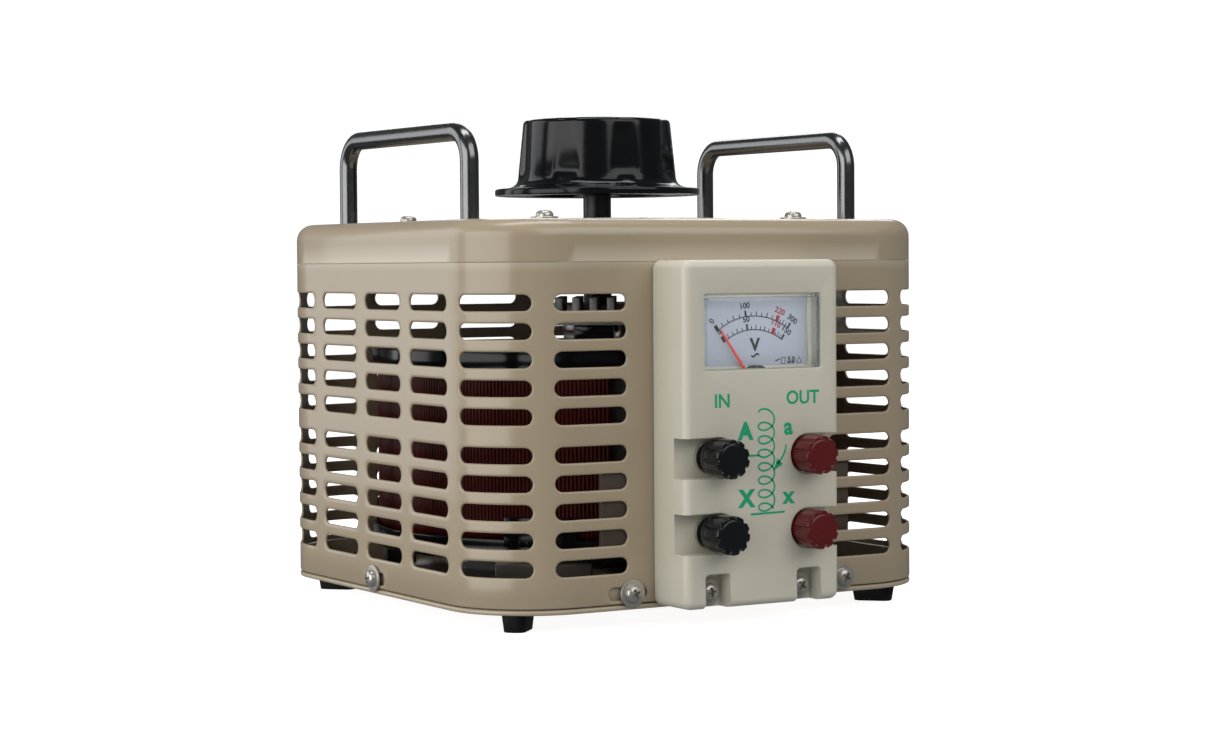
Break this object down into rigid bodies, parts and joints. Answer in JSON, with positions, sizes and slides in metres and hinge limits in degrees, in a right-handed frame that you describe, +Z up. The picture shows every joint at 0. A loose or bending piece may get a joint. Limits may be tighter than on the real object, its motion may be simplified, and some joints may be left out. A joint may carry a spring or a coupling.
{
  "type": "variac autotransformer",
  "caption": "Bench variable autotransformer in a slotted steel case, with top knob, carrying handles, voltmeter and binding posts.",
  "frame": {"origin": "on the floor, under the middle of the whole object's plan", "axes": "+Z up; the meter and binding posts face -Y; +X is the operator's right"},
  "size_m": [0.2242, 0.2442, 0.2048],
  "materials": {
    "painted_steel": "glossy warm beige enamel, smooth, lighter where the slots' edges catch the light",
    "chrome_rod": "bright plated rod",
    "black_plastic": "polished black phenolic moulding",
    "red_plastic": "dark red moulding, satin gloss",
    "ivory_plastic": "smooth ivory moulding, semi gloss",
    "rubber": "matte black rubber",
    "lead_sleeve": "black insulating sleeve over wire",
    "zinc_steel": "zinc plated, satin",
    "black_steel": "blackened steel",
    "brass": "turned brass, lightly dulled",
    "aluminium": "cast and plain aluminium, satin",
    "enamelled_copper": "dark red-brown enamelled wire, vertical turns",
    "core_steel": "wound strip steel",
    "carbon": "pressed carbon",
    "phenolic": "brown laminate board",
    "dial_white": "printed pale dial",
    "clear_acrylic": "clear moulded window",
    "needle_red": "thin lacquered pointer"
  },
  "bodies": {
    "case": {"base_plate": "painted_steel", "shell_wrap": "painted_steel", "shell_cap": "painted_steel", "handle_left": "chrome_rod", "handle_right": "chrome_rod", "lower_ring": "black_plastic", "upper_ring": "black_plastic", "meter_housing": "black_plastic", "front_panel": "ivory_plastic", "foot_front_left": "rubber", "foot_front_right": "rubber", "foot_back_left": "rubber", "foot_back_right": "rubber", "lead_input": "lead_sleeve", "lead_common": "lead_sleeve", "lead_output": "lead_sleeve", "cap_screw_front_left": "zinc_steel", "cap_screw_front_right": "zinc_steel", "cap_screw_back_left": "zinc_steel", "cap_screw_back_right": "zinc_steel", "shell_screw_front_left": "zinc_steel", "shell_screw_front_right": "zinc_steel", "shell_screw_left": "zinc_steel", "shell_screw_right": "zinc_steel", "shell_screw_back": "zinc_steel", "panel_screw_left": "zinc_steel", "panel_screw_right": "zinc_steel", "coil_stand": "zinc_steel", "clamp_nut": "zinc_steel", "stop_pin": "zinc_steel", "bearing_lower": "brass", "bearing_upper": "brass", "collector_finger": "brass", "post_stud_lower_left": "brass", "post_stud_lower_right": "brass", "post_stud_upper_left": "brass", "post_stud_upper_right": "brass", "dial_plate": "aluminium", "hub_tube": "aluminium", "winding": "enamelled_copper", "toroid_core": "core_steel", "meter_movement": "core_steel", "terminal_board": "phenolic", "clamp_disc": "phenolic", "meter_dial": "dial_white", "meter_window": "clear_acrylic"},
    "rotor": {"shaft": "black_steel", "knob": "black_plastic", "knob_screw": "zinc_steel", "collector_ring": "brass", "stop_arm": "zinc_steel", "brush_arm": "aluminium", "brush_holder": "black_plastic", "brush_spring": "zinc_steel"},
    "brush": {"carbon_brush": "carbon"},
    "needle": {"meter_needle": "needle_red"},
    "post_cap_lower_left_body": {"post_cap_lower_left": "black_plastic"},
    "post_cap_lower_right_body": {"post_cap_lower_right": "red_plastic"},
    "post_cap_upper_left_body": {"post_cap_upper_left": "black_plastic"},
    "post_cap_upper_right_body": {"post_cap_upper_right": "red_plastic"}
  },
  "joints": [
    {"name": "knob_turn", "type": "hinge", "parent": "case", "child": "rotor", "pos_m": [0, 0.01495, 0.17], "axis": [0, 0, -1], "range_deg": [0, 318]},
    {"name": "brush_slide", "type": "slide", "parent": "rotor", "child": "brush", "axis": [0, 0, 1], "range_m": [0, 0.003], "stiffness_N_per_m": 300, "springref_m": -0.006, "deforming": ["brush_spring"]},
    {"name": "needle_swing", "type": "hinge", "parent": "case", "child": "needle", "pos_m": [0, -0.10665, 0.0937], "axis": [0, 1, 0], "range_deg": [0, 70.5]},
    {"name": "post_cap_lower_left_turn", "type": "hinge", "parent": "case", "child": "post_cap_lower_left_body", "pos_m": [-0.021, -0.11505, 0.0378], "axis": [0, -1, 0], "range_deg": [0, 720]},
    {"name": "post_cap_lower_right_turn", "type": "hinge", "parent": "case", "child": "post_cap_lower_right_body", "pos_m": [0.021, -0.11505, 0.0378], "axis": [0, -1, 0], "range_deg": [0, 720]},
    {"name": "post_cap_upper_left_turn", "type": "hinge", "parent": "case", "child": "post_cap_upper_left_body", "pos_m": [-0.021, -0.11505, 0.0673], "axis": [0, -1, 0], "range_deg": [0, 720]},
    {"name": "post_cap_upper_right_turn", "type": "hinge", "parent": "case", "child": "post_cap_upper_right_body", "pos_m": [0.021, -0.11505, 0.0673], "axis": [0, -1, 0], "range_deg": [0, 720]}
  ],
  "couplings": [
    {"joint": "needle_swing", "follows": "knob_turn", "ratio": 0.1984}
  ]
}
